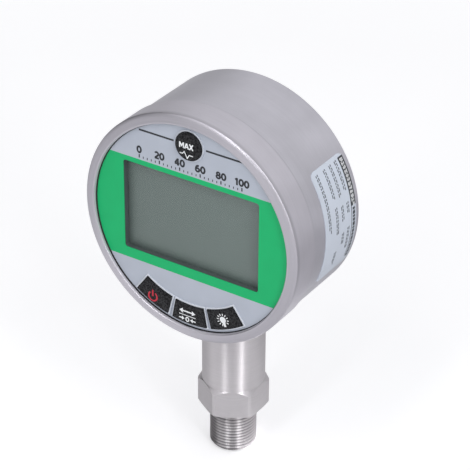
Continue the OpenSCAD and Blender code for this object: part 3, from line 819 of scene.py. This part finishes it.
face_prints()
power_print()
unit_zero_print()
light_print()
peak_print()
label_prints()


# Stem: the CAD solid's hexagon, neck and bores, with a threaded end that has a true helix

THREAD_COLUMNS = 144
THREAD_TURNS = 16
FLANK_L = (CREST_R - ROOT_R) * math.tan(math.radians(30))
CREST_L = PITCH / 8
ROOT_L = PITCH - 2 * FLANK_L - CREST_L
# Gap left before the CAD's faces until a seam closes it
SEAM = 0.05
# Slack in comparing heights and in comparing radii, and the distance within which corners merge
SLACK_Z = 0.01
SLACK_R = 0.1
MERGED = 1e-5


def thread_radius(t):
    """Radius of the thread at a height t within one pitch."""
    if t < ROOT_L:
        return ROOT_R
    if t < ROOT_L + FLANK_L:
        return ROOT_R + (t - ROOT_L) / FLANK_L * (CREST_R - ROOT_R)
    if t < ROOT_L + FLANK_L + CREST_L:
        return CREST_R
    return CREST_R - (t - ROOT_L - FLANK_L - CREST_L) / FLANK_L * (CREST_R - ROOT_R)


def helical_thread(bm):
    """The thread between the tip's chamfer and the plain groove. Each column of corners climbs a
    part of the pitch, so that the last joins the first one turn up."""
    crest_start = ROOT_L + FLANK_L
    breaks = (0, ROOT_L / 2, ROOT_L, ROOT_L + FLANK_L / 2, crest_start, crest_start + CREST_L / 2,
              crest_start + CREST_L, crest_start + CREST_L + FLANK_L / 2)
    columns = []
    for c in range(THREAD_COLUMNS):
        a = 2 * math.pi * c / THREAD_COLUMNS
        column = []
        for turn in range(THREAD_TURNS):
            for t in breaks:
                z = (turn - 2) * PITCH + t + PITCH * c / THREAD_COLUMNS
                z = min(max(z, 0), RELIEF_Z)
                limit = min(TIP_R + z, RELIEF_R + (RELIEF_Z - z))
                r = min(thread_radius(t), limit) if 0 < z < RELIEF_Z else limit
                column.append(bm.verts.new((r * math.cos(a), r * math.sin(a), z)))
        columns.append(column)
    total = len(breaks) * THREAD_TURNS
    for c, column in enumerate(columns):
        last = c == THREAD_COLUMNS - 1
        after = columns[0] if last else columns[c + 1]
        shift = len(breaks) if last else 0
        for i in range(total - 1 - shift):
            bm.faces.new((column[i], after[i + shift], after[i + 1 + shift], column[i + 1]))
    bmesh.ops.remove_doubles(bm, verts=bm.verts, dist=MERGED)


def stem_ring(radius, z):
    return [(radius * c, radius * s, z) for c, s in around(THREAD_COLUMNS)]


def add_cad_faces(bm):
    """The faces of the CAD's stem, apart from its threaded end and the port's lower part."""
    source = NODES["pressure_stem"].data
    points = [v.co / MM for v in source.vertices]
    kept = {}
    for p in source.polygons:
        corners = [points[i] for i in p.vertices]
        widest = max(c.xy.length for c in corners)
        under_hexagon = max(c.z for c in corners) < HEX_Z + SLACK_Z and widest < CREST_R + SLACK_R
        above_port = min(c.z for c in corners) > PORT_L - SLACK_Z and widest < PORT_R + SLACK_R
        if under_hexagon and not above_port:
            continue
        loop = []
        for corner in corners:
            key = tuple(round(v, 3) for v in corner)
            if key not in kept:
                kept[key] = bm.verts.new(corner)
            loop.append(kept[key])
        if len(set(loop)) == len(loop) and bm.faces.get(loop) is None:
            bm.faces.new(loop)


def close_seam(bm, low, high, radius):
    """Joins the two open rims of one radius that lie between two heights."""
    rims = [e for e in bm.edges if e.is_boundary and all(
        low < v.co.z < high and abs(v.co.xy.length - radius) < SEAM for v in e.verts)]
    bmesh.ops.bridge_loops(bm, edges=rims)


def threaded_stem():
    bm = bmesh.new()
    helical_thread(bm)
    groove_end = HEX_Z - SEAM
    port_end = PORT_L - 2 * SEAM
    loft(bm, [stem_ring(RELIEF_R, RELIEF_Z), stem_ring(RELIEF_R, groove_end)], "open")
    loft(bm, [stem_ring(TIP_R, 0), stem_ring(PORT_R + PORT_EDGE, 0), stem_ring(PORT_R, PORT_EDGE),
              stem_ring(PORT_R, port_end)], "open")
    add_cad_faces(bm)
    close_seam(bm, groove_end - SLACK_Z, HEX_Z + SLACK_Z, RELIEF_R)
    close_seam(bm, port_end - SLACK_Z, PORT_L + SLACK_Z, PORT_R)
    made = piece("threaded_stem", bm, MATERIALS["stem_steel"], sharp=24)
    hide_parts("pressure_stem")


threaded_stem()


# Stage and light: lengths in metres

FLOOR_HALF = 4.0
FLOOR_DROP = 0.0001
AIM = (0, 0, 0.1)


def floor_material():
    """Pale paper that the camera sees brighten far off. In reflections alone it glows a little,
    except for a grey stretch behind the gauge. There it also has a brighter patch at the left, one
    at the right and, close to the stem, a dark card in front and a bright one behind."""
    s = Surface("floor_paper", Specular_IOR_Level=0.2)
    x, y, _ = s.parts(s.place)
    reach = s.length(x, y)
    backwards = s.plus(x, y)
    rays = s.node("ShaderNodeLightPath").outputs
    glossy = rays["Is Glossy Ray"]
    direct = s.calc("MAXIMUM", rays["Is Camera Ray"], rays["Is Transmission Ray"])
    close = s.times(glossy, s.span(reach, (0.014, 0.03), (1, 0)))
    behind = s.times(s.span(y, (0.06, 0.1)), s.span(y, (0.2, 0.4), (1, 0)))

    mottle = s.noise(s.place, scale=30)
    paper = s.shaded(mottle, srgb(224, 224, 226), low=0.99, high=1.0)
    paper = s.blend(s.times(glossy, behind), paper, srgb(184, 184, 186))
    dark_card = s.times(close, s.span(backwards, (-0.008, 0), (1, 0)))
    s.set("Base Color", s.blend(dark_card, paper, srgb(20, 20, 21)))
    s.set("Roughness", s.span(s.noise(s.place, scale=900), result=(0.7, 0.8)))

    before = s.span(behind, (0, 1), (0.12, 0))
    left = s.times(s.span(x, (-0.2, -0.14)), s.span(x, (-0.045, -0.03), (0.27, 0)))
    right = s.times(s.span(x, (0.03, 0.05), (0, 0.4)), s.span(y, (0, 0.02)),
                    s.span(reach, (0.07, 0.1), (1, 0)))
    bright_card = s.times(close, s.span(backwards, (0, 0.008), (0, 5)))
    reflected = s.times(glossy, s.plus(before, left, right, bright_card))
    seen = s.times(direct, s.span(reach, (0.4, 1.8), (0.37, 0.75)))
    s.set("Emission Strength", s.calc("MAXIMUM", seen, reflected))
    s.set("Emission Color", s.shaded(mottle, (1.0, 1.0, 1.0), low=0.99, high=1.0))
    return s.material


def make_floor():
    bm = bmesh.new()
    bmesh.ops.create_grid(bm, x_segments=1, y_segments=1, size=FLOOR_HALF)
    mesh = bpy.data.meshes.new("floor")
    bm.to_mesh(mesh)
    bm.free()
    mesh.materials.append(floor_material())
    floor = bpy.data.objects.new("floor", mesh)
    floor.location.z = -FLOOR_DROP
    bpy.context.scene.collection.objects.link(floor)


def make_world():
    """White where the camera sees it. In reflections it is brighter upwards, with a bright stretch
    high in front and a dark one high at the left. All other light from it is an even grey."""
    world = bpy.data.worlds.new("studio")
    w = Nodes(world)
    x, y, z = w.parts(w.node("ShaderNodeTexCoord").outputs["Generated"])
    rays = w.node("ShaderNodeLightPath").outputs
    even = 0.6

    def towards(across, back, up):
        return w.plus(w.times(x, across), w.times(y, back), w.times(z, up))

    level = 0.58
    slope = towards(0.03, 0, 0.35)
    left_high = towards(-0.93, 0, 0.37)
    front_high = towards(0.2, -0.7, 0.685)
    sky = w.times(w.plus(slope, level), w.span(left_high, (0.75, 0.94), (1.0, 0.1)))
    sky = w.plus(sky, w.span(front_high, (0.74, 0.93), (0, 0.26)))
    light = w.plus(w.times(rays["Is Glossy Ray"], w.calc("SUBTRACT", sky, even)), even)
    direct = w.calc("MAXIMUM", rays["Is Camera Ray"], rays["Is Transmission Ray"])
    to_white = w.times(direct, w.calc("SUBTRACT", 1.0, light))
    background = w.tree.nodes["Background"]
    w.feed(w.plus(light, to_white), background.inputs["Strength"])
    background.inputs["Color"].default_value = (0.98, 0.985, 1.0, 1)
    bpy.context.scene.world = world


def round_position(azimuth, distance, height):
    """A place by its angle from the front towards the right."""
    return (distance * sine(azimuth), -distance * cosine(azimuth), height)


def lamp(name, place, width, height, power):
    data = bpy.data.lights.new(name, "AREA")
    data.shape = "RECTANGLE"
    data.size = width
    data.size_y = height
    data.energy = power
    made = bpy.data.objects.new(name, data)
    made.location = place
    made.rotation_mode = "QUATERNION"
    made.rotation_quaternion = (Vector(AIM) - Vector(place)).to_track_quat("-Z", "Y")
    bpy.context.scene.collection.objects.link(made)


make_floor()
make_world()
lamp("key_soft", (-1.1, -1.1, 1.7), width=1.2, height=1.2, power=3.2)
lamp("right_soft", round_position(85, 1.0, 1.1), width=0.35, height=0.35, power=0.9)
lamp("front_soft", round_position(50, 1.3, 0.55), width=0.5, height=0.7, power=0.5)
lamp("strip_left", round_position(1, 1.0, 0.9), width=0.13, height=1.1, power=3.9)
lamp("strip_right", round_position(61, 1.0, 0.66), width=0.13, height=1.2, power=4.1)
bpy.context.scene.view_settings.view_transform = "Standard"
